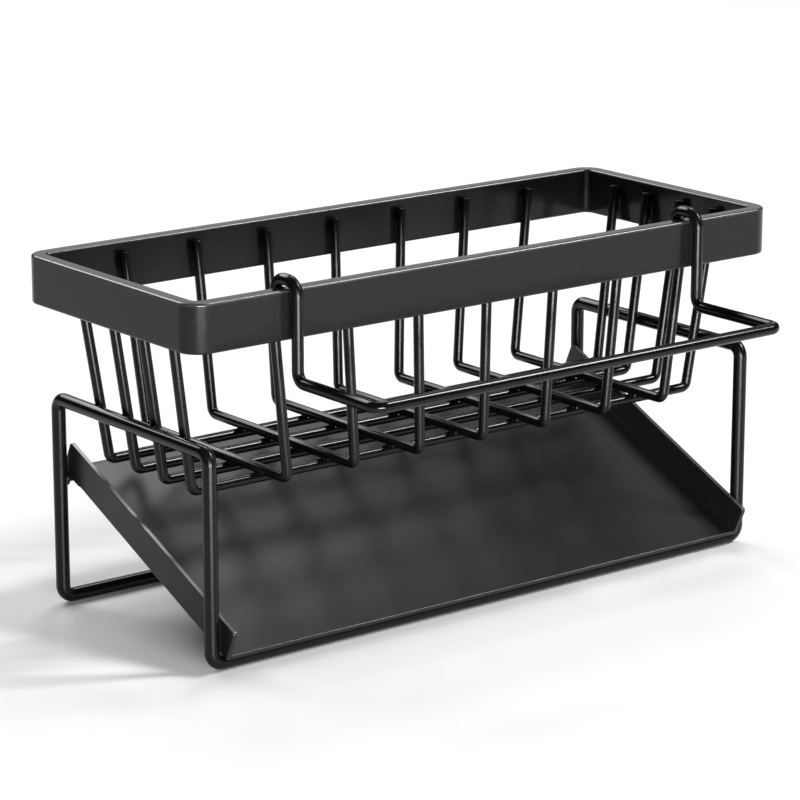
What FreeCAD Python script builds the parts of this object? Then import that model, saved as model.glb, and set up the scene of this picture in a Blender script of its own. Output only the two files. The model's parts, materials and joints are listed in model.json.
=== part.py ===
import FreeCAD, Part

import math
import os
import re

import Sketcher

# Sink sponge holder in powder-coated steel: a wire basket under a flat rim nests in a bent-wire stand,
# a sloped tray drains the water towards the front, and a towel rail hangs over the front of the rim.
# Millimetres, +Z up, +X along the length, +Y to the back. The origin is on the counter, under the middle.

# Driving dimensions
SIZES = {
    "rim_length": "226",
    "rim_width": "89.4",
    "rim_height": "15",
    "rim_thickness": "4.8",
    "rim_top": "111.5",
    "rim_inside_radius": "2",
    "rim_edge_round": "0.8",
    "basket_wire": "3.2",
    "basket_floor": "52.4",
    "wire_inside_bend": "0.7",
    "wire_end_gap": "0.5",
    "weld_set": "0.2",
    "cross_count": "7",
    "cross_end_margin": "32.3",
    "cross_floor_margin": "23.8",
    "cross_taper": "1.5",
    "long_count": "4",
    "long_side_margin": "20.7",
    "long_floor_margin": "15.15",
    "frame_wire": "4.4",
    "frame_height": "68",
    "frame_end_inset": "8.3",
    "frame_side_inset": "4.5",
    "frame_inside_bend": "1.4",
    "basket_setback": "0.3",
    "support_wire": "2.2",
    "support_drop": "12.65",
    "support_setback": "0.35",
    "tray_sheet": "1.5",
    "tray_flange": "10.4",
    "tray_side_gap": "0.5",
    "tray_overhang": "2.4",
    "tray_inside_bend": "0.3",
    "tray_tip_round": "1",
    "tray_lip": "4",
    "rail_wire": "3.6",
    "rail_span": "156",
    "rail_reach": "37.2",
    "rail_drop": "27.1",
    "rail_shift": "0",
    "rail_inside_bend": "1.5",
    "hook_gap": "1",
    "hook_back_gap": "1.1",
    "hook_rise": "0.55",
    "hook_inside_bend": "2.5",
    "hook_tail": "2.5",
    "fit_gap": "0.3",
}

# Where the loose pieces stand
BASKET_Y = "((hook_gap + rail_wire + rail_reach) / 2)"
FRAME_Y = f"({BASKET_Y} - basket_setback)"

# Stand: axes of the legs, the rails on the counter and the bars at the top
LEG_X = "(rim_length / 2 - frame_end_inset)"
LEG_Y = "(rim_width / 2 - frame_side_inset)"
RAIL_Z = "(frame_wire / 2)"
BAR_Z = "(frame_height - frame_wire / 2)"
LEG_SPLIT_Z = "(frame_height / 2)"
FRAME_BEND = "(frame_inside_bend + frame_wire / 2)"

# Hooks of the towel rail: up the front of the rim, over its top and down a short tail inside it
HOOK_LEG_Y = "(rim_width / 2 + hook_gap + rail_wire / 2)"
HOOK_WIDTH = "(hook_gap + rim_thickness + hook_back_gap + rail_wire)"
HOOK_CROWN_Z = "(rim_top + hook_rise + rail_wire / 2)"
HOOK_TAIL_Z = "(rim_top - hook_tail)"
HOOK_BEND = "(hook_inside_bend + rail_wire / 2)"
BAR_DROP_Z = "(rim_top - rail_drop)"
RAIL_BEND = "(rail_inside_bend + rail_wire / 2)"

# Basket wires: their tops stop just under the hook tails, so that the rail hangs anywhere along the rim
WIRE_TOP_Z = f"({HOOK_TAIL_Z} - wire_end_gap)"
WIRE_BEND = "(wire_inside_bend + basket_wire / 2)"
LONG_FLOOR_Z = "(basket_floor - basket_wire + weld_set)"
CROSS_TOP_Y = "(rim_width / 2 - rim_thickness - basket_wire / 2 + weld_set)"
CROSS_FLOOR_Y = f"({CROSS_TOP_Y} - cross_taper)"
LONG_TOP_X = "(rim_length / 2 - rim_thickness - basket_wire / 2 + weld_set)"

# The end legs of the long wires lean in until they wedge between the two top bars of the stand
SEAT_RUN = f"({LONG_TOP_X} - {LEG_X})"
SEAT_RISE = f"({WIRE_TOP_Z} - {BAR_Z})"
SEAT_DISTANCE = "((frame_wire + basket_wire) / 2 + fit_gap)"
LONG_LEAN = (
    f"(atan2({SEAT_RUN}; {SEAT_RISE}) + asin({SEAT_DISTANCE} / hypot({SEAT_RUN}; {SEAT_RISE})))"
)
LONG_FLOOR_X = f"({LONG_TOP_X} - ({WIRE_TOP_Z} - {LONG_FLOOR_Z}) * tan({LONG_LEAN}))"

# Tray: its underside is a plane resting on the front rail and on the support wire between the rear legs,
# and its lower bends nest in the bends of the stand
SUPPORT_Z = "(basket_floor - support_drop)"
SUPPORT_RUN = f"(2 * {LEG_Y} + support_setback)"
SUPPORT_RISE = f"({SUPPORT_Z} - {RAIL_Z})"
SUPPORT_STEP = "((frame_wire - support_wire) / 2)"
TRAY_TILT = (
    f"(atan2({SUPPORT_RISE}; {SUPPORT_RUN})"
    f" - asin({SUPPORT_STEP} / hypot({SUPPORT_RUN}; {SUPPORT_RISE})))"
)
TRAY_BEARING = f"sqrt({SUPPORT_RUN} ^ 2 + {SUPPORT_RISE} ^ 2 - {SUPPORT_STEP} ^ 2)"
TRAY_LENGTH = f"(tray_overhang + {TRAY_BEARING} + support_wire / 2 + fit_gap + tray_sheet)"
TRAY_LIFT = "(frame_wire / 2 + fit_gap)"
TRAY_HALF_WIDTH = f"({LEG_X} - frame_wire / 2 - tray_side_gap)"
TRAY_OUTSIDE_BEND = "max(frame_inside_bend - tray_side_gap; tray_inside_bend)"

ALIAS = re.compile(r"\b(" + "|".join(SIZES) + r")\b")
TOUCH = 1e-6

doc = FreeCAD.newDocument("sponge_holder")
sheet = doc.addObject("Spreadsheet::Sheet", "Sizes")
for row, (alias, number) in enumerate(SIZES.items(), start=1):
    sheet.set(f"A{row}", alias)
    sheet.set(f"B{row}", number)
    sheet.setAlias(f"B{row}", alias)
doc.recompute()


def value(formula):
    """A formula of the sheet's aliases as a number."""
    return float(sheet.evalExpression(formula))


def bind(item, path, formula):
    """Tie a property to the sheet."""
    item.setExpression(path, ALIAS.sub(r"Sizes.\1", formula))


def new_body(label):
    """An empty body named after its sub-part."""
    body = doc.addObject("PartDesign::Body", label)
    body.Label = label
    return body


def place(body, axis=None, angle=None, **position):
    """Put a body at x, y and z, turned about an axis."""
    if axis is not None:
        body.Placement = FreeCAD.Placement(FreeCAD.Vector(), FreeCAD.Rotation(axis, 1))
        bind(body, "Placement.Rotation.Angle", angle)
    for name, formula in position.items():
        bind(body, f"Placement.Base.{name}", formula)


def new_sketch(body, name, role, offset=None):
    """A sketch on one of the body's own planes, moved along the plane's normal."""
    sketch = body.newObject("Sketcher::SketchObject", name)
    support = next(item for item in body.Origin.OriginFeatures if item.Role == role)
    sketch.AttachmentSupport = [(support, "")]
    sketch.MapMode = "FlatFace"
    if offset is not None:
        bind(sketch, "AttachmentOffset.Base.z", offset)
    return sketch


def dimension(sketch, formula, kind, *references):
    """A driving constraint bound to the sheet."""
    index = sketch.addConstraint(Sketcher.Constraint(kind, *references, value(formula)))
    name = f"size_{index}"
    sketch.renameConstraint(index, name)
    bind(sketch, f"Constraints.{name}", formula)


def locate(sketch, geometry, point, across, up):
    """Hold a point of the sketch at a place measured from the sketch's origin."""
    for kind, formula in (("DistanceX", across), ("DistanceY", up)):
        ends = (-1, 1, geometry, point)
        if value(formula) < 0:
            ends = (geometry, point, -1, 1)
            formula = f"-({formula})"
        dimension(sketch, formula, kind, *ends)


def bent_path(sketch, corners, bends):
    """Straight runs from corner to corner, with a tangent arc at each inner corner."""
    points = [FreeCAD.Vector(value(across), value(up)) for across, up in corners]
    start = points[0]
    runs = []
    arcs = []
    for before, corner, after, bend in zip(points, points[1:], points[2:], bends):
        radius = value(bend)
        to_before = (before - corner).normalize()
        to_after = (after - corner).normalize()
        half_angle = to_before.getAngle(to_after) / 2
        inward = (to_before + to_after).normalize()
        setback = radius / math.tan(half_angle)
        middle = corner + inward * (radius / math.sin(half_angle) - radius)
        bend_start = corner + to_before * setback
        bend_end = corner + to_after * setback
        turns_left = to_after.cross(to_before).z > 0
        first, last = (bend_start, bend_end) if turns_left else (bend_end, bend_start)
        runs.append(sketch.addGeometry(Part.LineSegment(start, bend_start)))
        arcs.append((sketch.addGeometry(Part.Arc(first, middle, last)), turns_left, bend))
        start = bend_end
    runs.append(sketch.addGeometry(Part.LineSegment(start, points[-1])))
    for bent, run, next_run, corner, place_of in zip(arcs, runs, runs[1:], points[1:], corners[1:]):
        arc, turns_left, bend = bent
        first, last = (1, 2) if turns_left else (2, 1)
        sketch.addConstraint(Sketcher.Constraint("Tangent", run, 2, arc, first))
        sketch.addConstraint(Sketcher.Constraint("Tangent", next_run, 1, arc, last))
        dimension(sketch, bend, "Radius", arc)
        mark = sketch.addGeometry(Part.Point(corner), True)
        sketch.addConstraint(Sketcher.Constraint("PointOnObject", mark, 1, run))
        sketch.addConstraint(Sketcher.Constraint("PointOnObject", mark, 1, next_run))
        locate(sketch, mark, 1, *place_of)
    locate(sketch, runs[0], 1, *corners[0])
    locate(sketch, runs[-1], 2, *corners[-1])
    return len(runs) + len(arcs)


def sweep_wire(body, name, path, edge_count, diameter):
    """A round wire along a path sketch, added to the body."""
    doc.recompute()
    section = body.newObject("Sketcher::SketchObject", f"{name}_section")
    section.AttachmentSupport = [(path, "Edge1")]
    section.MapMode = "NormalToEdge"
    section.MapPathParameter = 0
    circle = Part.Circle(FreeCAD.Vector(), FreeCAD.Vector(0, 0, 1), value(diameter) / 2)
    section.addGeometry(circle)
    section.addConstraint(Sketcher.Constraint("Coincident", 0, 3, -1, 1))
    dimension(section, diameter, "Diameter", 0)
    pipe = body.newObject("PartDesign::AdditivePipe", f"{name}_wire")
    pipe.Profile = section
    pipe.Spine = (path, [f"Edge{number}" for number in range(1, edge_count + 1)])
    doc.recompute()


def bent_wire(body, name, role, offset, corners, bends, diameter):
    """A wire bent in one plane, added to the body."""
    path = new_sketch(body, f"{name}_path", role, offset)
    edge_count = bent_path(path, corners, bends)
    sweep_wire(body, name, path, edge_count, diameter)


def rectangle(sketch, half_width, low, high):
    """A rectangle centred across, from low to high."""
    right = value(half_width)
    bottom = value(low)
    top = value(high)
    corners = [(-right, bottom), (right, bottom), (right, top), (-right, top)]
    points = [FreeCAD.Vector(across, up) for across, up in corners]
    for point, next_point in zip(points, points[1:] + points[:1]):
        sketch.addGeometry(Part.LineSegment(point, next_point))
    for side in range(4):
        sketch.addConstraint(Sketcher.Constraint("Coincident", side, 2, (side + 1) % 4, 1))
        sketch.addConstraint(Sketcher.Constraint("Vertical" if side % 2 else "Horizontal", side))
    locate(sketch, 0, 1, f"-({half_width})", low)
    locate(sketch, 2, 1, half_width, high)


def extrude(body, kind, name, sketch, length, backwards=False):
    """A pad or a pocket of a sketch."""
    feature = body.newObject(f"PartDesign::{kind}", name)
    feature.Profile = sketch
    feature.Reversed = backwards
    bind(feature, "Length", length)
    doc.recompute()
    return feature


def round_edges(body, name, radius, chosen):
    """Round the edges of the body's last feature that the test chooses."""
    base = body.Tip
    names = [f"Edge{number}" for number, edge in enumerate(base.Shape.Edges, start=1) if chosen(edge)]
    fillet = body.newObject("PartDesign::Fillet", name)
    fillet.Base = (base, names)
    bind(fillet, "Radius", radius)
    doc.recompute()


def runs_along(edge, axis):
    """Whether an edge is straight and parallel to an axis."""
    if edge.Curve.TypeId != "Part::GeomLine":
        return False
    return abs(abs(edge.Curve.Direction.dot(axis)) - 1) < TOUCH


X_AXIS = FreeCAD.Vector(1, 0, 0)
Y_AXIS = FreeCAD.Vector(0, 1, 0)
Z_AXIS = FreeCAD.Vector(0, 0, 1)


def build_frame_loop():
    """Stand: one closed loop of wire with two floor rails, four legs and two top bars."""
    body = new_body("frame_loop")
    place(body, y=FRAME_Y)
    for name, side in (("front_rail", -1), ("rear_rail", 1)):
        corners = [
            (f"-{LEG_X}", LEG_SPLIT_Z),
            (f"-{LEG_X}", RAIL_Z),
            (LEG_X, RAIL_Z),
            (LEG_X, LEG_SPLIT_Z),
        ]
        offset = f"{-side} * {LEG_Y}"
        bent_wire(body, name, "XZ_Plane", offset, corners, [FRAME_BEND] * 2, "frame_wire")
    for name, side in (("left_arch", -1), ("right_arch", 1)):
        corners = [
            (f"-{LEG_Y}", LEG_SPLIT_Z),
            (f"-{LEG_Y}", BAR_Z),
            (LEG_Y, BAR_Z),
            (LEG_Y, LEG_SPLIT_Z),
        ]
        offset = f"{side} * {LEG_X}"
        bent_wire(body, name, "YZ_Plane", offset, corners, [FRAME_BEND] * 2, "frame_wire")
    return body


def build_tray_support_wire():
    """Straight wire between the rear legs, its ends hollowed to fit round them and welded on."""
    rod = doc.addObject("Part::Cylinder", "support_rod")
    bind(rod, "Radius", "support_wire / 2")
    bind(rod, "Height", f"2 * {LEG_X}")
    rod.Placement = FreeCAD.Placement(FreeCAD.Vector(), FreeCAD.Rotation(Y_AXIS, 90))
    bind(rod, "Placement.Base.x", f"-{LEG_X}")
    bind(rod, "Placement.Base.y", f"{FRAME_Y} + {LEG_Y} + support_setback")
    bind(rod, "Placement.Base.z", SUPPORT_Z)
    leg_hollows = []
    for name, side in (("left_hollow", -1), ("right_hollow", 1)):
        hollow = doc.addObject("Part::Cylinder", name)
        bind(hollow, "Radius", "frame_wire / 2 - weld_set")
        bind(hollow, "Height", "frame_height")
        bind(hollow, "Placement.Base.x", f"{side} * {LEG_X}")
        bind(hollow, "Placement.Base.y", f"{FRAME_Y} + {LEG_Y}")
        leg_hollows.append(hollow)
    both_hollows = doc.addObject("Part::MultiFuse", "leg_hollows")
    both_hollows.Shapes = leg_hollows
    wire = doc.addObject("Part::Cut", "tray_support_wire")
    wire.Label = "tray_support_wire"
    wire.Base = rod
    wire.Tool = both_hollows
    return wire


def build_drain_tray():
    """Sheet tray, sloped down to the front, with two side flanges and a lip hooked behind the wire."""
    body = new_body("drain_tray")
    front_y = f"({FRAME_Y} - {LEG_Y} - {TRAY_LIFT} * sin({TRAY_TILT}) - tray_overhang * cos({TRAY_TILT}))"
    front_z = f"({RAIL_Z} + {TRAY_LIFT} * cos({TRAY_TILT}) - tray_overhang * sin({TRAY_TILT}))"
    place(body, X_AXIS, TRAY_TILT, y=front_y, z=front_z)

    outside = new_sketch(body, "tray_outside", "XZ_Plane")
    rectangle(outside, TRAY_HALF_WIDTH, "0", "tray_flange")
    extrude(body, "Pad", "tray_block", outside, TRAY_LENGTH, backwards=True)

    inside = new_sketch(body, "tray_inside", "XZ_Plane")
    rectangle(inside, f"({TRAY_HALF_WIDTH} - tray_sheet)", "tray_sheet", "2 * tray_flange")
    extrude(body, "Pocket", "tray_channel", inside, TRAY_LENGTH)

    half_width = value(TRAY_HALF_WIDTH)
    sheet_thickness = value("tray_sheet")
    flange = value("tray_flange")

    def at_outside_bend(edge):
        middle = edge.CenterOfMass
        return (
            runs_along(edge, Y_AXIS)
            and abs(middle.z) < TOUCH
            and abs(abs(middle.x) - half_width) < TOUCH
        )

    def at_inside_bend(edge):
        middle = edge.CenterOfMass
        return (
            runs_along(edge, Y_AXIS)
            and abs(middle.z - sheet_thickness) < TOUCH
            and abs(abs(middle.x) - half_width + sheet_thickness) < TOUCH
        )

    def at_flange_tip(edge):
        return runs_along(edge, X_AXIS) and abs(edge.CenterOfMass.z - flange) < TOUCH

    round_edges(body, "outside_bends", TRAY_OUTSIDE_BEND, at_outside_bend)
    round_edges(body, "inside_bends", "tray_inside_bend", at_inside_bend)
    round_edges(body, "flange_tips", "tray_tip_round", at_flange_tip)

    lip = new_sketch(body, "tray_lip_outline", "XZ_Plane", f"-{TRAY_LENGTH}")
    rectangle(lip, f"({TRAY_HALF_WIDTH} - {TRAY_OUTSIDE_BEND})", "-tray_lip", "tray_sheet")
    extrude(body, "Pad", "tray_rear_lip", lip, "tray_sheet")
    return body


def build_rim_band():
    """Rim: flat bar bent on edge into a rectangle with rounded corners and softly rounded edges."""
    body = new_body("rim_band")
    place(body, y=BASKET_Y, z="rim_top - rim_height")

    outside = new_sketch(body, "rim_outside", "XY_Plane")
    rectangle(outside, "rim_length / 2", "-rim_width / 2", "rim_width / 2")
    extrude(body, "Pad", "rim_block", outside, "rim_height")
    round_edges(
        body,
        "outside_corners",
        "rim_inside_radius + rim_thickness",
        lambda edge: runs_along(edge, Z_AXIS),
    )
    inside = new_sketch(body, "rim_inside", "XY_Plane")
    half_inside = "rim_width / 2 - rim_thickness"
    rectangle(inside, "rim_length / 2 - rim_thickness", f"-({half_inside})", half_inside)
    extrude(body, "Pocket", "rim_opening", inside, "rim_height", backwards=True)

    inside_x = value("rim_length / 2 - rim_thickness")
    inside_y = value(half_inside)

    def at_inside_corner(edge):
        middle = edge.CenterOfMass
        at_corner = abs(abs(middle.x) - inside_x) < TOUCH and abs(abs(middle.y) - inside_y) < TOUCH
        return at_corner and runs_along(edge, Z_AXIS)

    round_edges(body, "inside_corners", "rim_inside_radius", at_inside_corner)
    round_edges(
        body,
        "soft_edges",
        "rim_edge_round",
        lambda edge: edge.BoundBox.ZLength < TOUCH,
    )
    return body


def build_cross_wire(number):
    """U-shaped wire from front to back, lying on the long wires; the outer ones lean outwards."""
    body = new_body(f"cross_wire_{number}")
    share = f"(({number - 1} - (cross_count - 1) / 2) * 2 / (cross_count - 1))"
    top_x = f"({share} * (rim_length / 2 - cross_end_margin))"
    floor_x = f"({share} * ({LONG_FLOOR_X} - cross_floor_margin))"
    rise = f"({WIRE_TOP_Z} - basket_floor)"
    lean = f"atan2({top_x} - {floor_x}; {rise})"
    place(body, Y_AXIS, lean, x=floor_x, y=BASKET_Y, z="basket_floor")
    leg = f"hypot({top_x} - {floor_x}; {rise})"
    corners = [
        (f"-{CROSS_TOP_Y}", leg),
        (f"-{CROSS_FLOOR_Y}", "0"),
        (CROSS_FLOOR_Y, "0"),
        (CROSS_TOP_Y, leg),
    ]
    bent_wire(body, f"cross_{number}", "YZ_Plane", None, corners, [WIRE_BEND] * 2, "basket_wire")
    return body


def build_long_wire(number):
    """U-shaped wire from end to end under the cross wires; the outer ones lean outwards."""
    body = new_body(f"long_wire_{number}")
    share = f"(((long_count - 1) / 2 - {number - 1}) * 2 / (long_count - 1))"
    top_y = f"({share} * (rim_width / 2 - long_side_margin))"
    floor_y = f"({share} * ({CROSS_FLOOR_Y} - long_floor_margin))"
    rise = f"({WIRE_TOP_Z} - {LONG_FLOOR_Z})"
    lean = f"atan2({floor_y} - {top_y}; {rise})"
    place(body, X_AXIS, lean, y=f"{BASKET_Y} + {floor_y}", z=LONG_FLOOR_Z)
    leg = f"hypot({top_y} - {floor_y}; {rise})"
    corners = [
        (f"-{LONG_TOP_X}", leg),
        (f"-{LONG_FLOOR_X}", "0"),
        (LONG_FLOOR_X, "0"),
        (LONG_TOP_X, leg),
    ]
    bent_wire(body, f"long_{number}", "XZ_Plane", None, corners, [WIRE_BEND] * 2, "basket_wire")
    return body


def build_towel_rail():
    """Towel rail: one wire with a hook over the rim at each end, two arms and a bar in front."""
    body = new_body("towel_rail")
    place(body, x="rail_shift", y=BASKET_Y)
    half_span = "(rail_span / 2)"
    arm_y = f"(-{HOOK_LEG_Y} - rail_reach / 2)"
    bar_y = f"(-{HOOK_LEG_Y} - rail_reach)"
    tail_y = f"(-{HOOK_LEG_Y} + {HOOK_WIDTH})"
    bar_corners = [
        (f"-{half_span}", arm_y),
        (f"-{half_span}", bar_y),
        (half_span, bar_y),
        (half_span, arm_y),
    ]
    bent_wire(body, "bar", "XY_Plane", BAR_DROP_Z, bar_corners, [RAIL_BEND] * 2, "rail_wire")
    for name, side in (("left", -1), ("right", 1)):
        offset = f"{side} * {half_span}"
        arm_corners = [
            (arm_y, BAR_DROP_Z),
            (f"-{HOOK_LEG_Y}", BAR_DROP_Z),
            (f"-{HOOK_LEG_Y}", HOOK_CROWN_Z),
            (tail_y, HOOK_CROWN_Z),
            (tail_y, HOOK_TAIL_Z),
        ]
        arm_bends = [RAIL_BEND, HOOK_BEND, HOOK_BEND]
        bent_wire(body, f"{name}_arm", "YZ_Plane", offset, arm_corners, arm_bends, "rail_wire")
    return body


nodes = [build_frame_loop(), build_tray_support_wire(), build_drain_tray(), build_rim_band()]
nodes += [build_cross_wire(number) for number in range(1, round(value("cross_count")) + 1)]
nodes += [build_long_wire(number) for number in range(1, round(value("long_count")) + 1)]
nodes.append(build_towel_rail())
doc.recompute()

# Every object has to be sound before anything is written
for item in doc.Objects:
    if "Invalid" in item.State or "Error" in item.State:
        raise RuntimeError(f"{item.Label} is {item.State}")
for node in nodes:
    if node.Shape.isNull() or not node.Shape.isValid() or len(node.Shape.Solids) != 1:
        raise RuntimeError(f"{node.Label} is not one valid solid")

os.makedirs("parts", exist_ok=True)
for node in nodes:
    node.Shape.exportStep(f"parts/{node.Label}.step")
    box = node.Shape.BoundBox
    print(f"{node.Label}: {box.XLength:.2f} x {box.YLength:.2f} x {box.ZLength:.2f} mm")
print(f"tray tilt {value(TRAY_TILT):.3f} degrees, tray length {value(TRAY_LENGTH):.2f} mm")
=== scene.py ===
import json
import math

import bmesh
import bpy
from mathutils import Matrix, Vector


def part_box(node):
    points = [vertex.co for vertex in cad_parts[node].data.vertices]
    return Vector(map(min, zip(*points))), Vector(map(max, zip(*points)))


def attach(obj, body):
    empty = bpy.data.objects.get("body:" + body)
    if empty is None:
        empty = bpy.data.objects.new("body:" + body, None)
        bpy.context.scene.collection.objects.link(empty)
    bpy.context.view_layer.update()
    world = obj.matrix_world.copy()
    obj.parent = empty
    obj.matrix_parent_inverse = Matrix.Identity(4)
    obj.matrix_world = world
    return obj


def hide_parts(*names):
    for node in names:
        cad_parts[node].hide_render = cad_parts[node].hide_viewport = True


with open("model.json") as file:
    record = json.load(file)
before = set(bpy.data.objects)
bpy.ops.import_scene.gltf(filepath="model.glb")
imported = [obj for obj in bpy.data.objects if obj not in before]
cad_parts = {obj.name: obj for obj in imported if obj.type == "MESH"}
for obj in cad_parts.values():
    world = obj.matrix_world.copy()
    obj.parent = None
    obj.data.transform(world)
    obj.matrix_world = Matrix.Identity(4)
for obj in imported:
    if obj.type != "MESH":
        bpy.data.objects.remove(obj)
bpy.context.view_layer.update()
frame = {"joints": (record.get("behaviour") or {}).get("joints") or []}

# Stand: one length of thick steel rod bent into a closed loop, with two floor rails, four legs and two
# top bars. Its ends are butt-welded and ground flush, and it is coated in satin black powder.
stand_wire = 0.0044
stand_bend = 0.0036
wire_sides = 32
bend_steps = 14
stand_low, stand_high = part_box("frame_loop")
leg_left = stand_low.x + stand_wire / 2
leg_right = stand_high.x - stand_wire / 2
leg_front = stand_low.y + stand_wire / 2
leg_rear = stand_high.y - stand_wire / 2
rail_height = stand_low.z + stand_wire / 2
bar_height = stand_high.z - stand_wire / 2


def link_pairs(tree, *sockets):
    """Link sockets in pairs: from, to, from, to."""
    for start, end in zip(sockets[::2], sockets[1::2]):
        tree.links.new(start, end)


def coat_noise(tree, place, name, scale, detail):
    """A noise on the piece's own coordinates. Returns the socket of its value."""
    noise = tree.nodes.new("ShaderNodeTexNoise")
    noise.name = name
    noise.inputs["Scale"].default_value = scale
    noise.inputs["Detail"].default_value = detail
    tree.links.new(place.outputs["Object"], noise.inputs["Vector"])
    return noise.outputs["Fac"]


def sag_on_uprights(tree, shader, gloss, sag, sag_roughness):
    """Stretch and dull the gloss where the run attribute of a wire points up or down."""
    run = tree.nodes.new("ShaderNodeAttribute")
    run.attribute_name = "run"
    split = tree.nodes.new("ShaderNodeSeparateXYZ")
    upright = tree.nodes.new("ShaderNodeMath")
    upright.operation = "ABSOLUTE"
    stretch = tree.nodes.new("ShaderNodeMath")
    stretch.operation = "MULTIPLY"
    stretch.inputs[1].default_value = sag
    dulled = tree.nodes.new("ShaderNodeMath")
    dulled.operation = "MULTIPLY_ADD"
    dulled.inputs[1].default_value = sag_roughness
    link_pairs(
        tree,
        run.outputs["Vector"], shader.inputs["Tangent"],
        run.outputs["Vector"], split.inputs["Vector"],
        split.outputs["Z"], upright.inputs[0],
        upright.outputs["Value"], stretch.inputs[0],
        stretch.outputs["Value"], shader.inputs["Anisotropic"],
        upright.outputs["Value"], dulled.inputs[0],
        gloss, dulled.inputs[2],
        dulled.outputs["Value"], shader.inputs["Roughness"],
    )


def powder_coat(name, colour, roughness, facing_gloss, peel, refraction=1.5, sag=0, sag_roughness=0):
    """Black powder coat: a near-black skin with a pigment grain, uneven gloss and a fine orange peel.

    On wires the coat sags a little down the uprights as it cures, which draws their highlights out.
    """
    peel_size = 0.0011
    peel_depth = 0.00006
    grain_per_peel = 0.6
    grain_low = 0.3
    grain_high = 0.7
    grain_spread = 0.2
    clouds_per_metre = 55
    gloss_spread = 0.035

    material = bpy.data.materials.new(name)
    material.use_nodes = True
    tree = material.node_tree
    shader = tree.nodes["Principled BSDF"]
    shader.inputs["IOR"].default_value = refraction
    shader.inputs["Specular Tint"].default_value = (facing_gloss, facing_gloss, facing_gloss, 1)

    place = tree.nodes.new("ShaderNodeTexCoord")
    grain = coat_noise(tree, place, "pigment_grain", scale=grain_per_peel / peel_size, detail=4)
    cloud = coat_noise(tree, place, "gloss_cloud", scale=clouds_per_metre, detail=2)
    skin = coat_noise(tree, place, "orange_peel", scale=1 / peel_size, detail=2)

    tint = tree.nodes.new("ShaderNodeValToRGB")
    dark, light = tint.color_ramp.elements
    dark.position = grain_low
    dark.color = (*[(1 - grain_spread) * part for part in colour], 1)
    light.position = grain_high
    light.color = (*[(1 + grain_spread) * part for part in colour], 1)
    gloss = tree.nodes.new("ShaderNodeMapRange")
    gloss.inputs["To Min"].default_value = roughness - gloss_spread
    gloss.inputs["To Max"].default_value = roughness + gloss_spread
    bump = tree.nodes.new("ShaderNodeBump")
    bump.inputs["Strength"].default_value = peel
    bump.inputs["Distance"].default_value = peel_depth
    link_pairs(
        tree,
        grain, tint.inputs["Fac"],
        tint.outputs["Color"], shader.inputs["Base Color"],
        cloud, gloss.inputs["Value"],
        skin, bump.inputs["Height"],
        bump.outputs["Normal"], shader.inputs["Normal"],
    )
    if sag:
        sag_on_uprights(tree, shader, gloss.outputs["Result"], sag, sag_roughness)
    else:
        tree.links.new(gloss.outputs["Result"], shader.inputs["Roughness"])
    return material


def node_tree(name, inputs):
    """An empty geometry tree with a geometry socket at each end and the named inputs between."""
    tree = bpy.data.node_groups.new(name, "GeometryNodeTree")
    tree.interface.new_socket("Geometry", in_out="INPUT", socket_type="NodeSocketGeometry")
    for title, kind in inputs:
        tree.interface.new_socket(title, in_out="INPUT", socket_type=f"NodeSocket{kind}")
    tree.interface.new_socket("Geometry", in_out="OUTPUT", socket_type="NodeSocketGeometry")
    return tree, tree.nodes.new("NodeGroupInput"), tree.nodes.new("NodeGroupOutput")


def finish_tree(tree, geometry, coat, outlet):
    """Close a tree: make instances real, shade smooth and give the coat."""
    real = tree.nodes.new("GeometryNodeRealizeInstances")
    smooth = tree.nodes.new("GeometryNodeSetShadeSmooth")
    paint = tree.nodes.new("GeometryNodeSetMaterial")
    link_pairs(
        tree,
        geometry, real.inputs["Geometry"],
        real.outputs["Geometry"], smooth.inputs["Geometry"],
        smooth.outputs["Geometry"], paint.inputs["Geometry"],
        coat, paint.inputs["Material"],
        paint.outputs["Geometry"], outlet.inputs["Geometry"],
    )


def bent_wire_tree():
    """Round the corners of an edge path by its bend attribute and run a round wire along it."""
    tree, inlet, outlet = node_tree("bent_wire", [
        ("Wire diameter", "Float"),
        ("Wire sides", "Int"),
        ("Bend steps", "Int"),
        ("Coat", "Material"),
    ])
    path = tree.nodes.new("GeometryNodeMeshToCurve")
    bend = tree.nodes.new("GeometryNodeInputNamedAttribute")
    bend.data_type = "FLOAT"
    bend.inputs["Name"].default_value = "bend"
    fillet = tree.nodes.new("GeometryNodeFilletCurve")
    fillet.mode = "POLY"
    fillet.inputs["Limit Radius"].default_value = True
    tangent = tree.nodes.new("GeometryNodeInputTangent")
    run = tree.nodes.new("GeometryNodeStoreNamedAttribute")
    run.data_type = "FLOAT_VECTOR"
    run.domain = "POINT"
    run.inputs["Name"].default_value = "run"
    half = tree.nodes.new("ShaderNodeMath")
    half.operation = "MULTIPLY"
    half.inputs[1].default_value = 0.5
    section = tree.nodes.new("GeometryNodeCurvePrimitiveCircle")
    sweep = tree.nodes.new("GeometryNodeCurveToMesh")
    sweep.inputs["Fill Caps"].default_value = True
    link_pairs(
        tree,
        inlet.outputs["Geometry"], path.inputs["Mesh"],
        path.outputs["Curve"], fillet.inputs["Curve"],
        bend.outputs["Attribute"], fillet.inputs["Radius"],
        inlet.outputs["Bend steps"], fillet.inputs["Count"],
        inlet.outputs["Wire diameter"], half.inputs[0],
        half.outputs["Value"], section.inputs["Radius"],
        inlet.outputs["Wire sides"], section.inputs["Resolution"],
        fillet.outputs["Curve"], run.inputs["Geometry"],
        tangent.outputs["Tangent"], run.inputs["Value"],
        run.outputs["Geometry"], sweep.inputs["Curve"],
        section.outputs["Curve"], sweep.inputs["Profile Curve"],
    )
    finish_tree(tree, sweep.outputs["Mesh"], inlet.outputs["Coat"], outlet)
    return tree


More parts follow.
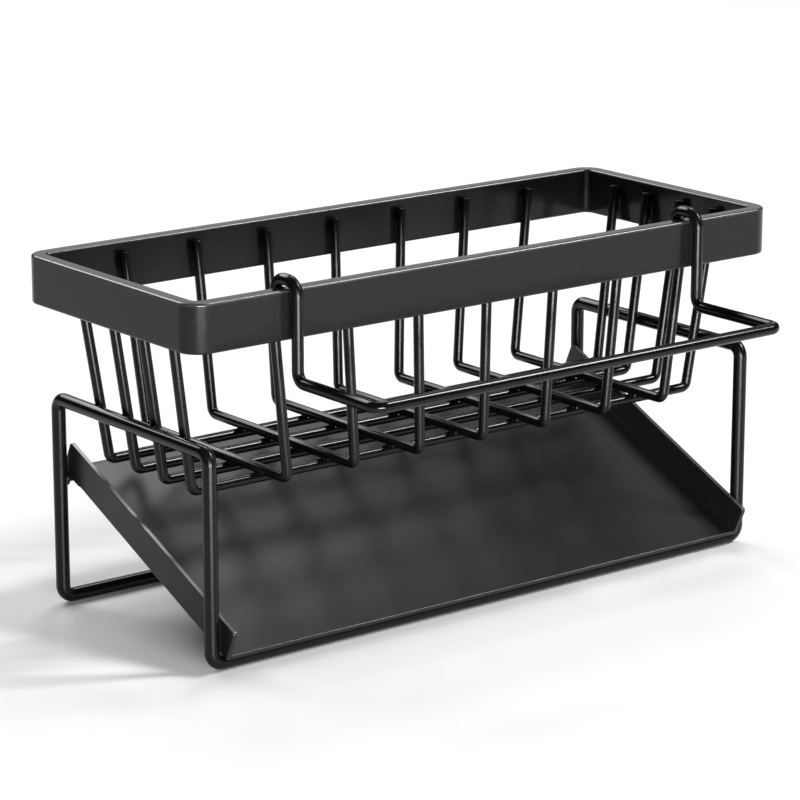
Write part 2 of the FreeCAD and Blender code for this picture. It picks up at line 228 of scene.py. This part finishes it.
def path_mesh(paths, closed=False):
    """Edge paths, each a list of points with the bend radius at that corner."""
    points, edges, bends = [], [], []
    for path in paths:
        first = len(points)
        for corner, bend in path:
            points.append(corner)
            bends.append(bend)
        last = len(points) - 1
        edges += [(index, index + 1) for index in range(first, last)]
        if closed:
            edges.append((last, first))
    mesh = bpy.data.meshes.new("wire_path")
    mesh.from_pydata(points, edges, [])
    mesh.attributes.new("bend", "FLOAT", "POINT").data.foreach_set("value", bends)
    return mesh


def new_object(name, data):
    """An object at the origin, linked to the scene."""
    made = bpy.data.objects.new(name, data)
    bpy.context.scene.collection.objects.link(made)
    return made


def settle(piece):
    """Apply the piece's modifiers and leave it a plain mesh."""
    draft = piece.data
    evaluated = piece.evaluated_get(bpy.context.evaluated_depsgraph_get())
    plain = bpy.data.meshes.new_from_object(evaluated)
    piece.modifiers.clear()
    piece.data = plain
    bpy.data.meshes.remove(draft)
    plain.name = piece.name


def grow(name, start_mesh, tree, values):
    """Run a geometry tree on a mesh and keep the result as a plain mesh object."""
    grown = new_object(name, start_mesh)
    modifier = grown.modifiers.new(tree.name, "NODES")
    modifier.node_group = tree
    for socket in tree.interface.items_tree:
        if socket.in_out == "INPUT" and socket.name in values:
            modifier[socket.identifier] = values[socket.name]
    settle(grown)
    return grown


wire_coat = powder_coat(
    "satin_black_wire",
    colour=(0.002, 0.002, 0.0021),
    roughness=0.16,
    facing_gloss=0.86,
    peel=0.012,
    refraction=1.33,
    sag=0.85,
    sag_roughness=0.08,
)
bent_wire = bent_wire_tree()
stand_corners = [
    (leg_left, leg_front, rail_height),
    (leg_right, leg_front, rail_height),
    (leg_right, leg_front, bar_height),
    (leg_right, leg_rear, bar_height),
    (leg_right, leg_rear, rail_height),
    (leg_left, leg_rear, rail_height),
    (leg_left, leg_rear, bar_height),
    (leg_left, leg_front, bar_height),
]
stand_path = path_mesh([[(corner, stand_bend) for corner in stand_corners]], closed=True)
stand = grow("stand_loop", stand_path, bent_wire, {
    "Wire diameter": stand_wire,
    "Wire sides": wire_sides,
    "Bend steps": bend_steps,
    "Coat": wire_coat,
})
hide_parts("frame_loop")
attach(stand, "stand")

# Support wire: a thin straight rod across the two rear legs, spot-welded into their inner sides, so that
# the back of the tray has something to lie on. A small bead of weld shows at each end under the coat.
support_wire = 0.0022
support_setback = 0.00035
bead_half = (0.0012, 0.0017, 0.0021)
bead_shift = 0.0002
bead_detail = 4
support_low, support_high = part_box("tray_support_wire")
support_height = (support_low.z + support_high.z) / 2
support_y = leg_rear + support_setback
bead_reach = leg_right - stand_wire / 2


def nugget_tree():
    """Small welds: a squashed ball at each point, sized by the nugget attribute."""
    tree, inlet, outlet = node_tree("weld_nuggets", [("Ball detail", "Int"), ("Coat", "Material")])
    points = tree.nodes.new("GeometryNodeMeshToPoints")
    ball = tree.nodes.new("GeometryNodeMeshIcoSphere")
    ball.inputs["Radius"].default_value = 1
    size = tree.nodes.new("GeometryNodeInputNamedAttribute")
    size.data_type = "FLOAT_VECTOR"
    size.inputs["Name"].default_value = "nugget"
    copies = tree.nodes.new("GeometryNodeInstanceOnPoints")
    link_pairs(
        tree,
        inlet.outputs["Geometry"], points.inputs["Mesh"],
        points.outputs["Points"], copies.inputs["Points"],
        inlet.outputs["Ball detail"], ball.inputs["Subdivisions"],
        ball.outputs["Mesh"], copies.inputs["Instance"],
        size.outputs["Attribute"], copies.inputs["Scale"],
    )
    finish_tree(tree, copies.outputs["Instances"], inlet.outputs["Coat"], outlet)
    return tree


def nugget_mesh(spots):
    """Points with the half sizes of the weld at each."""
    mesh = bpy.data.meshes.new("weld_spots")
    mesh.from_pydata([spot for spot, _ in spots], [], [])
    halves = [part for _, half in spots for part in half]
    mesh.attributes.new("nugget", "FLOAT_VECTOR", "POINT").data.foreach_set("vector", halves)
    return mesh


weld_coat = powder_coat(
    "satin_black_weld",
    colour=(0.002, 0.002, 0.0021),
    roughness=0.42,
    facing_gloss=0.3,
    peel=0.04,
)
weld_nuggets = nugget_tree()
support_ends = [((leg, support_y, support_height), 0) for leg in (leg_left, leg_right)]
support = grow("support_wire", path_mesh([support_ends]), bent_wire, {
    "Wire diameter": support_wire,
    "Wire sides": wire_sides,
    "Bend steps": 1,
    "Coat": wire_coat,
})
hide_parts("tray_support_wire")
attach(support, "stand")

support_spots = [
    ((side * bead_reach, support_y - bead_shift, support_height), bead_half) for side in (-1, 1)
]
support_welds = grow("support_welds", nugget_mesh(support_spots), weld_nuggets, {
    "Ball detail": bead_detail,
    "Coat": weld_coat,
})
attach(support_welds, "stand")

# Drain tray: pressed sheet steel with two turned-up sides and a lip turned down at the back, which hooks
# behind the support wire. It lies loose on the front rail and the wire, sloping down to the front.
tray_sheet = 0.0015
tray_flange = 0.0104
tray_lip = 0.004
tray_lip_bend = 0.0012
tray_tip_round = 0.001
tray_outside_bend = 0.0009
tray_inside_bend = 0.0003
tray_edge_round = 0.00045
tray_fit = 0.0003
tray_overhang = 0.0024
floor_strips = 8
floor_steps = 12
lip_steps = 6
slack = 0.00001
tray_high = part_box("drain_tray")[1]
slide = next(joint for joint in frame["joints"] if joint["name"] == "tray_slide")
slope = Vector(slide["axis"]).normalized()
off_slope = Vector((1, 0, 0)).cross(slope)
tray_lift = stand_wire / 2 + tray_fit
tray_front = Vector((0, leg_front, rail_height)) + off_slope * tray_lift - slope * tray_overhang
support_axis = Vector((0, support_y, support_height))
tray_length = (support_axis - tray_front).dot(slope) + support_wire / 2 + tray_fit + tray_sheet
tray_half = tray_high.x - tray_sheet / 2


def tray_point(across, along, up):
    """A point of the tray, given across it, along the slope and up from the slope."""
    return tray_front + Vector((across, 0, 0)) + slope * along + off_slope * up


def tray_strip(shape, rows):
    """Add quads between rows of tray points."""
    grid = [[shape.verts.new(tray_point(*spot)) for spot in row] for row in rows]
    for row, next_row in zip(grid, grid[1:]):
        for index in range(len(row) - 1):
            shape.faces.new((row[index], row[index + 1], next_row[index + 1], next_row[index]))


def build_tray():
    """The tray's middle surface, ready for its thickness."""
    merge_reach = 0.000001
    shape = bmesh.new()
    middle_height = tray_sheet / 2
    lip_half = tray_half - tray_sheet
    floor_end = tray_length - tray_sheet / 2 - tray_lip_bend
    half_floor = [(strip * lip_half / floor_strips, middle_height) for strip in range(floor_strips + 1)]
    flange = [(tray_half, middle_height), (tray_half, tray_flange)]

    half = half_floor + flange
    section = [(-across, up) for across, up in half[:0:-1]] + half
    tray_strip(shape, [
        [(across, floor_end * step / floor_steps, up) for across, up in section]
        for step in range(floor_steps + 1)
    ])
    for side in (-1, 1):
        tray_strip(shape, [
            [(side * across, along, up) for across, up in flange[::side]]
            for along in (floor_end, tray_length)
        ])

    flat = [(-across, up) for across, up in half_floor[:0:-1]] + half_floor
    lip_rows = [[(across, floor_end, up) for across, up in flat]]
    for step in range(1, lip_steps + 1):
        angle = math.pi / 2 * step / lip_steps
        along = floor_end + tray_lip_bend * math.sin(angle)
        drop = tray_lip_bend * (1 - math.cos(angle))
        lip_rows.append([(across, along, up - drop) for across, up in flat])
    lip_rows.append([(across, tray_length - tray_sheet / 2, -tray_lip) for across, _ in flat])
    tray_strip(shape, lip_rows)

    bmesh.ops.remove_doubles(shape, verts=shape.verts, dist=merge_reach)
    bmesh.ops.recalc_face_normals(shape, faces=shape.faces)
    tips = [
        vertex for vertex in shape.verts
        if len(vertex.link_edges) == 2 and (vertex.co - tray_front).dot(off_slope) > tray_flange - slack
    ]
    bmesh.ops.bevel(shape, geom=tips, offset=tray_tip_round, segments=4, affect="VERTICES", profile=0.5)
    mesh = bpy.data.meshes.new("tray_middle")
    shape.to_mesh(mesh)
    shape.free()
    return mesh


def round_tray(piece):
    """Round the folds under and inside the sides, then every edge that is still sharp."""
    along_slope = 0.99
    sharp_angle = 0.9
    shape = bmesh.new()
    shape.from_mesh(piece.data)
    outside, inside = [], []
    for edge in shape.edges:
        run = (edge.verts[1].co - edge.verts[0].co).normalized()
        if abs(run.dot(slope)) < along_slope:
            continue
        across = min(abs(vertex.co.x) for vertex in edge.verts)
        up = max((vertex.co - tray_front).dot(off_slope) for vertex in edge.verts)
        if across > tray_high.x - slack and up < slack:
            outside.append(edge)
        if abs(across - tray_high.x + tray_sheet) < slack and abs(up - tray_sheet) < slack:
            inside.append(edge)
    rounding = {"affect": "EDGES", "profile": 0.5, "clamp_overlap": True}
    bmesh.ops.bevel(shape, geom=outside, offset=tray_outside_bend, segments=6, **rounding)
    inside = [edge for edge in inside if edge.is_valid]
    bmesh.ops.bevel(shape, geom=inside, offset=tray_inside_bend, segments=4, **rounding)
    sharp = [
        edge for edge in shape.edges
        if len(edge.link_faces) == 2 and edge.calc_face_angle() > sharp_angle
    ]
    bmesh.ops.bevel(shape, geom=sharp, offset=tray_edge_round, segments=3, **rounding)
    for face in shape.faces:
        face.smooth = True
    shape.to_mesh(piece.data)
    shape.free()


def keep_flats(piece):
    """Weight the normals by the size of the faces, so that flats stay flat beside rounded edges."""
    flats = piece.modifiers.new("flats", "WEIGHTED_NORMAL")
    flats.weight = 80
    settle(piece)


def takes_tray_highlight(face):
    """Whether a face looks up from the top of a side or from the front edge, and so gets the painted
    highlight.
    """
    least_upward = 0.3
    spot = face.center - tray_front
    at_side_top = spot.dot(off_slope) > tray_flange - tray_edge_round
    at_front = spot.dot(slope) < tray_edge_round
    return (at_side_top or at_front) and face.normal.dot(off_slope) > least_upward


def paint_highlight(piece, coat, takes_highlight):
    """Give the faces that the mask picks a lighter, glossier coat: a painted highlight along the upward
    edges.
    """
    piece.data.materials.append(coat)
    for face in piece.data.polygons:
        if takes_highlight(face):
            face.material_index = 1


# Painted highlight: a lighter, glossier coat put only on edges that face up, so that they show bright
# lines.
highlight_coat = powder_coat(
    "satin_black_painted_highlight",
    colour=(0.03, 0.03, 0.0306),
    roughness=0.22,
    facing_gloss=1,
    peel=0.015,
)
tray_coat = powder_coat(
    "satin_black_sheet",
    colour=(0.006, 0.006, 0.0062),
    roughness=0.32,
    facing_gloss=0.4,
    peel=0.06,
)
tray = new_object("tray_sheet", build_tray())
tray.data.materials.append(tray_coat)
wall = tray.modifiers.new("sheet", "SOLIDIFY")
wall.thickness = tray_sheet
wall.offset = 0
wall.use_even_offset = True
settle(tray)
round_tray(tray)
keep_flats(tray)
# Painted highlight on the tray's upward side tops and front edge.
paint_highlight(tray, highlight_coat, takes_tray_highlight)
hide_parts("drain_tray")
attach(tray, "tray")

# Basket wires: thin rods bent into U shapes, four long ones end to end and seven short ones across them,
# resistance-welded where they cross, so that a small flat nugget sits between each pair under the coat.
basket_wire = 0.0032
wire_bend = 0.0023
end_round = 0.00035
basket_wire_sides = 24
basket_bend_steps = 10
cross_count = 7
long_count = 4
wire_top = 0.1085
cross_floor = 0.0524
cross_taper = 0.0015
cross_top_margin = 0.0323
cross_floor_margin = 0.0238
long_top_margin = 0.0207
long_floor_margin = 0.01515
weld_set = 0.0002
nugget_half = (0.0011, 0.0011, 0.0004)
nugget_detail = 3
seat_fit = 0.0003
rim_bar = 0.0048
rim_low, rim_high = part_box("rim_band")
basket_y = (rim_low.y + rim_high.y) / 2
rim_half_width = (rim_high.y - rim_low.y) / 2
rim_inside_x = rim_high.x - rim_bar
rim_inside_y = rim_half_width - rim_bar
long_floor = cross_floor - basket_wire + weld_set
cross_top_y = rim_inside_y - basket_wire / 2 + weld_set
cross_floor_y = cross_top_y - cross_taper
long_top_x = rim_inside_x - basket_wire / 2 + weld_set


def lean_past_bar():
    """How far the ends of the long wires lean so as to just clear the stand's top bars."""
    run = long_top_x - leg_right
    rise = wire_top - bar_height
    distance = (stand_wire + basket_wire) / 2 + seat_fit
    return math.atan2(run, rise) + math.asin(distance / math.hypot(run, rise))


def spread(count, reach):
    """Even places from minus reach to reach."""
    return [(2 * index - count + 1) / (count - 1) * reach for index in range(count)]


def u_wire(top_left, floor_left, floor_right, top_right):
    """A wire with two bent corners."""
    return [(top_left, 0), (floor_left, wire_bend), (floor_right, wire_bend), (top_right, 0)]


def soften_ends(piece, width):
    """Round over the sheared ends of the wires and keep the rest of the shading smooth."""
    sheared_angle = 1.2
    crease_angle = math.radians(50)
    shape = bmesh.new()
    shape.from_mesh(piece.data)
    rims = [
        edge for edge in shape.edges
        if len(edge.link_faces) == 2 and edge.calc_face_angle() > sheared_angle
    ]
    bmesh.ops.bevel(shape, geom=rims, offset=width, segments=3, affect="EDGES", profile=0.5)
    for face in shape.faces:
        face.smooth = True
    shape.to_mesh(piece.data)
    shape.free()
    piece.data.set_sharp_from_angle(angle=crease_angle)


long_floor_x = long_top_x - (wire_top - long_floor) * math.tan(lean_past_bar())
cross_tops = spread(cross_count, rim_high.x - cross_top_margin)
cross_floors = spread(cross_count, long_floor_x - cross_floor_margin)
long_tops = spread(long_count, rim_half_width - long_top_margin)
long_floors = spread(long_count, cross_floor_y - long_floor_margin)
cross_names = [f"cross_wire_{number}" for number in range(1, cross_count + 1)]
long_names = [f"long_wire_{number}" for number in range(1, long_count + 1)]
long_paths = [
    u_wire(
        (-long_top_x, basket_y + top, wire_top),
        (-long_floor_x, basket_y + floor, long_floor),
        (long_floor_x, basket_y + floor, long_floor),
        (long_top_x, basket_y + top, wire_top),
    )
    for top, floor in zip(long_tops, long_floors)
]
cross_paths = [
    u_wire(
        (top, basket_y - cross_top_y, wire_top),
        (floor, basket_y - cross_floor_y, cross_floor),
        (floor, basket_y + cross_floor_y, cross_floor),
        (top, basket_y + cross_top_y, wire_top),
    )
    for top, floor in zip(cross_tops, cross_floors)
]
for name, paths, stood_for in (
    ("basket_long_wires", long_paths, long_names),
    ("basket_cross_wires", cross_paths, cross_names),
):
    wires = grow(name, path_mesh(paths), bent_wire, {
        "Wire diameter": basket_wire,
        "Wire sides": basket_wire_sides,
        "Bend steps": basket_bend_steps,
        "Coat": wire_coat,
    })
    soften_ends(wires, end_round)
    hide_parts(*stood_for)
    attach(wires, "basket")

crossing_height = (cross_floor + long_floor) / 2
crossing_spots = [
    ((across, basket_y + along, crossing_height), nugget_half)
    for across in cross_floors
    for along in long_floors
]
basket_welds = grow("basket_welds", nugget_mesh(crossing_spots), weld_nuggets, {
    "Ball detail": nugget_detail,
    "Coat": weld_coat,
})
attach(basket_welds, "basket")

# Rim: flat steel bar stood on edge and bent into a rectangle, butt-welded at the back and ground flush.
# The tops of the basket wires are welded to its inside face, a little below its upper edge.
rim_corner = 0.002
rim_corner_steps = 12
rim_edge_round = 0.0008
rim_edge_steps = 5
seam_half_width = 0.0011
seam_half_depth = 0.0005
seam_inset = 0.0012
seam_detail = 4


def flat_bar_tree():
    """A flat bar bent round a rectangle, with soft edges."""
    tree, inlet, outlet = node_tree("flat_bar_rim", [
        ("Length", "Float"),
        ("Width", "Float"),
        ("Bar thickness", "Float"),
        ("Bar height", "Float"),
        ("Corner radius", "Float"),
        ("Corner steps", "Int"),
        ("Edge round", "Float"),
        ("Edge steps", "Int"),
        ("Centre", "Vector"),
        ("Coat", "Material"),
    ])
    outline = tree.nodes.new("GeometryNodeCurvePrimitiveQuadrilateral")
    corners = tree.nodes.new("GeometryNodeFilletCurve")
    corners.mode = "POLY"
    upright = tree.nodes.new("GeometryNodeSetCurveNormal")
    upright.mode = "Z_UP"
    bar = tree.nodes.new("GeometryNodeCurvePrimitiveQuadrilateral")
    edges = tree.nodes.new("GeometryNodeFilletCurve")
    edges.mode = "POLY"
    sweep = tree.nodes.new("GeometryNodeCurveToMesh")
    shift = tree.nodes.new("GeometryNodeTransform")
    link_pairs(
        tree,
        inlet.outputs["Length"], outline.inputs["Width"],
        inlet.outputs["Width"], outline.inputs["Height"],
        outline.outputs["Curve"], corners.inputs["Curve"],
        inlet.outputs["Corner radius"], corners.inputs["Radius"],
        inlet.outputs["Corner steps"], corners.inputs["Count"],
        corners.outputs["Curve"], upright.inputs["Curve"],
        inlet.outputs["Bar thickness"], bar.inputs["Width"],
        inlet.outputs["Bar height"], bar.inputs["Height"],
        bar.outputs["Curve"], edges.inputs["Curve"],
        inlet.outputs["Edge round"], edges.inputs["Radius"],
        inlet.outputs["Edge steps"], edges.inputs["Count"],
        upright.outputs["Curve"], sweep.inputs["Curve"],
        edges.outputs["Curve"], sweep.inputs["Profile Curve"],
        sweep.outputs["Mesh"], shift.inputs["Geometry"],
        inlet.outputs["Centre"], shift.inputs["Translation"],
    )
    finish_tree(tree, shift.outputs["Geometry"], inlet.outputs["Coat"], outlet)
    return tree


def takes_rim_highlight(face):
    """Whether a face belongs to the rounding between the rim's top and its sides, which gets the painted
    highlight.
    """
    side_most = 0.15
    top_least = 0.97
    return side_most < face.normal.z < top_least


rim_coat = powder_coat(
    "satin_black_bar",
    colour=(0.008, 0.008, 0.0082),
    roughness=0.16,
    facing_gloss=0.66,
    peel=0.03,
    refraction=1.33,
)
rim = grow("rim_bar", bpy.data.meshes.new("rim_seed"), flat_bar_tree(), {
    "Length": rim_high.x - rim_low.x - rim_bar,
    "Width": rim_high.y - rim_low.y - rim_bar,
    "Bar thickness": rim_bar,
    "Bar height": rim_high.z - rim_low.z,
    "Corner radius": rim_corner + rim_bar / 2,
    "Corner steps": rim_corner_steps,
    "Edge round": rim_edge_round,
    "Edge steps": rim_edge_steps,
    "Centre": (0, basket_y, (rim_low.z + rim_high.z) / 2),
    "Coat": rim_coat,
})
keep_flats(rim)
# Painted highlight on the rounding along the rim's top edges.
paint_highlight(rim, highlight_coat, takes_rim_highlight)
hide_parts("rim_band")
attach(rim, "basket")

seam_height = (rim_low.z + wire_top) / 2
seam_half_height = (wire_top - rim_low.z) / 2 - seam_inset


def seam_places(tops, floors, floor_height):
    """Where each leaning wire passes the middle of its seam, measured along the rim."""
    down = (wire_top - seam_height) / (wire_top - floor_height)
    return [top - (top - floor) * down for top, floor in zip(tops, floors)]


seam_spots = [
    (
        (along, basket_y + side * rim_inside_y, seam_height),
        (seam_half_width, seam_half_depth, seam_half_height),
    )
    for along in seam_places(cross_tops, cross_floors, cross_floor)
    for side in (-1, 1)
]
seam_spots += [
    (
        (side * rim_inside_x, basket_y + along, seam_height),
        (seam_half_depth, seam_half_width, seam_half_height),
    )
    for along in seam_places(long_tops, long_floors, long_floor)
    for side in (-1, 1)
]
rim_welds = grow("rim_welds", nugget_mesh(seam_spots), weld_nuggets, {
    "Ball detail": seam_detail,
    "Coat": rim_coat,
})
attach(rim_welds, "basket")

# Towel rail: one rod bent cold into a bar, two arms and two hooks that hang over the front of the rim.
# It is loose, so it lifts straight off. Its sheared ends are rounded over before coating.
rail_wire = 0.0036
rail_bend = 0.0033
hook_bend = 0.0043
hook_gap = 0.001
hook_back_gap = 0.0011
hook_tail = 0.0025
towel_low, towel_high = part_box("towel_rail")
rail_left = towel_low.x + rail_wire / 2
rail_right = towel_high.x - rail_wire / 2
rail_front = towel_low.y + rail_wire / 2
rail_inside = towel_high.y - rail_wire / 2
rail_bar_height = towel_low.z + rail_wire / 2
rail_leg = rail_inside - hook_back_gap - rim_bar - hook_gap - rail_wire
hook_top = towel_high.z - rail_wire / 2
tail_end = rim_high.z - hook_tail
rail_side = [
    ((rail_inside, tail_end), 0),
    ((rail_inside, hook_top), hook_bend),
    ((rail_leg, hook_top), hook_bend),
    ((rail_leg, rail_bar_height), rail_bend),
    ((rail_front, rail_bar_height), rail_bend),
]
rail_path = [((rail_left, *place), bend) for place, bend in rail_side]
rail_path += [((rail_right, *place), bend) for place, bend in reversed(rail_side)]
rail = grow("towel_rail_wire", path_mesh([rail_path]), bent_wire, {
    "Wire diameter": rail_wire,
    "Wire sides": wire_sides,
    "Bend steps": bend_steps,
    "Coat": wire_coat,
})
soften_ends(rail, end_round)
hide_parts("towel_rail")
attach(rail, "rail")

# Studio: a plain pale floor under soft boxes, and a long lens at the angle of the photograph.
# The boxes are area lamps that point at the holder, and the world adds a little even light.
floor_reach = 8
floor_grey = 0.81
floor_roughness = 0.9
floor_shine = 0.1
air_light = 0.06
holder_middle = Vector((0, 0.02, 0.06))
camera_azimuth = math.radians(-37.971)
camera_elevation = math.radians(14.89)
camera_place = (-0.631561, basket_y - 0.804618, 0.328385)
lens_length = 151.06
sensor_width = 36

floor_corners = [
    (-floor_reach, -floor_reach, 0),
    (floor_reach, -floor_reach, 0),
    (floor_reach, floor_reach, 0),
    (-floor_reach, floor_reach, 0),
]
floor_mesh = bpy.data.meshes.new("studio_floor")
floor_mesh.from_pydata(floor_corners, [], [(0, 1, 2, 3)])
floor_paper = bpy.data.materials.new("pale_paper")
floor_paper.use_nodes = True
paper = floor_paper.node_tree.nodes["Principled BSDF"]
paper.inputs["Base Color"].default_value = (floor_grey, floor_grey, floor_grey, 1)
paper.inputs["Roughness"].default_value = floor_roughness
paper.inputs["Specular IOR Level"].default_value = floor_shine
floor_mesh.materials.append(floor_paper)
floor = new_object("studio_floor", floor_mesh)

scene = bpy.context.scene
world = bpy.data.worlds.new("studio_air")
scene.world = world
world.use_nodes = True
air = world.node_tree.nodes["Background"]
air.inputs["Color"].default_value = (1, 1, 1, 1)
air.inputs["Strength"].default_value = air_light


def soft_box(name, place, width, height, power):
    """A rectangular soft box that points at the middle of the holder."""
    lamp = bpy.data.lights.new(name, "AREA")
    lamp.shape = "RECTANGLE"
    lamp.size = width
    lamp.size_y = height
    lamp.energy = power
    box = new_object(name, lamp)
    box.location = place
    box.rotation_euler = (holder_middle - Vector(place)).to_track_quat("-Z", "Y").to_euler()


soft_box("key_box", (1.2, -0.71, 1.5), width=0.3, height=0.6, power=32)
soft_box("front_strip", (-0.306, -0.77, 0.065), width=0.55, height=0.12, power=15)
soft_box("back_box", (-0.1, 1.5, 1.36), width=1.4, height=0.75, power=25)
soft_box("overhead_box", (1.2, 0.22, 1.62), width=1.9, height=0.8, power=3)
soft_box("rear_box", (0.84, 0.86, 1.66), width=0.6, height=0.6, power=8.5)
soft_box("horizon_box", (1.5, 1.9, 0.7), width=1.5, height=0.8, power=2.6)

scene.view_settings.view_transform = "Standard"
lens = bpy.data.cameras.new("camera")
lens.sensor_width = sensor_width
lens.lens = lens_length
lens.clip_start = 0.01
lens.clip_end = 50
camera = new_object("camera", lens)
camera.location = camera_place
look = Vector((
    -math.sin(camera_azimuth) * math.cos(camera_elevation),
    math.cos(camera_azimuth) * math.cos(camera_elevation),
    -math.sin(camera_elevation),
))
camera.rotation_euler = look.to_track_quat("-Z", "Y").to_euler()
scene.camera = camera
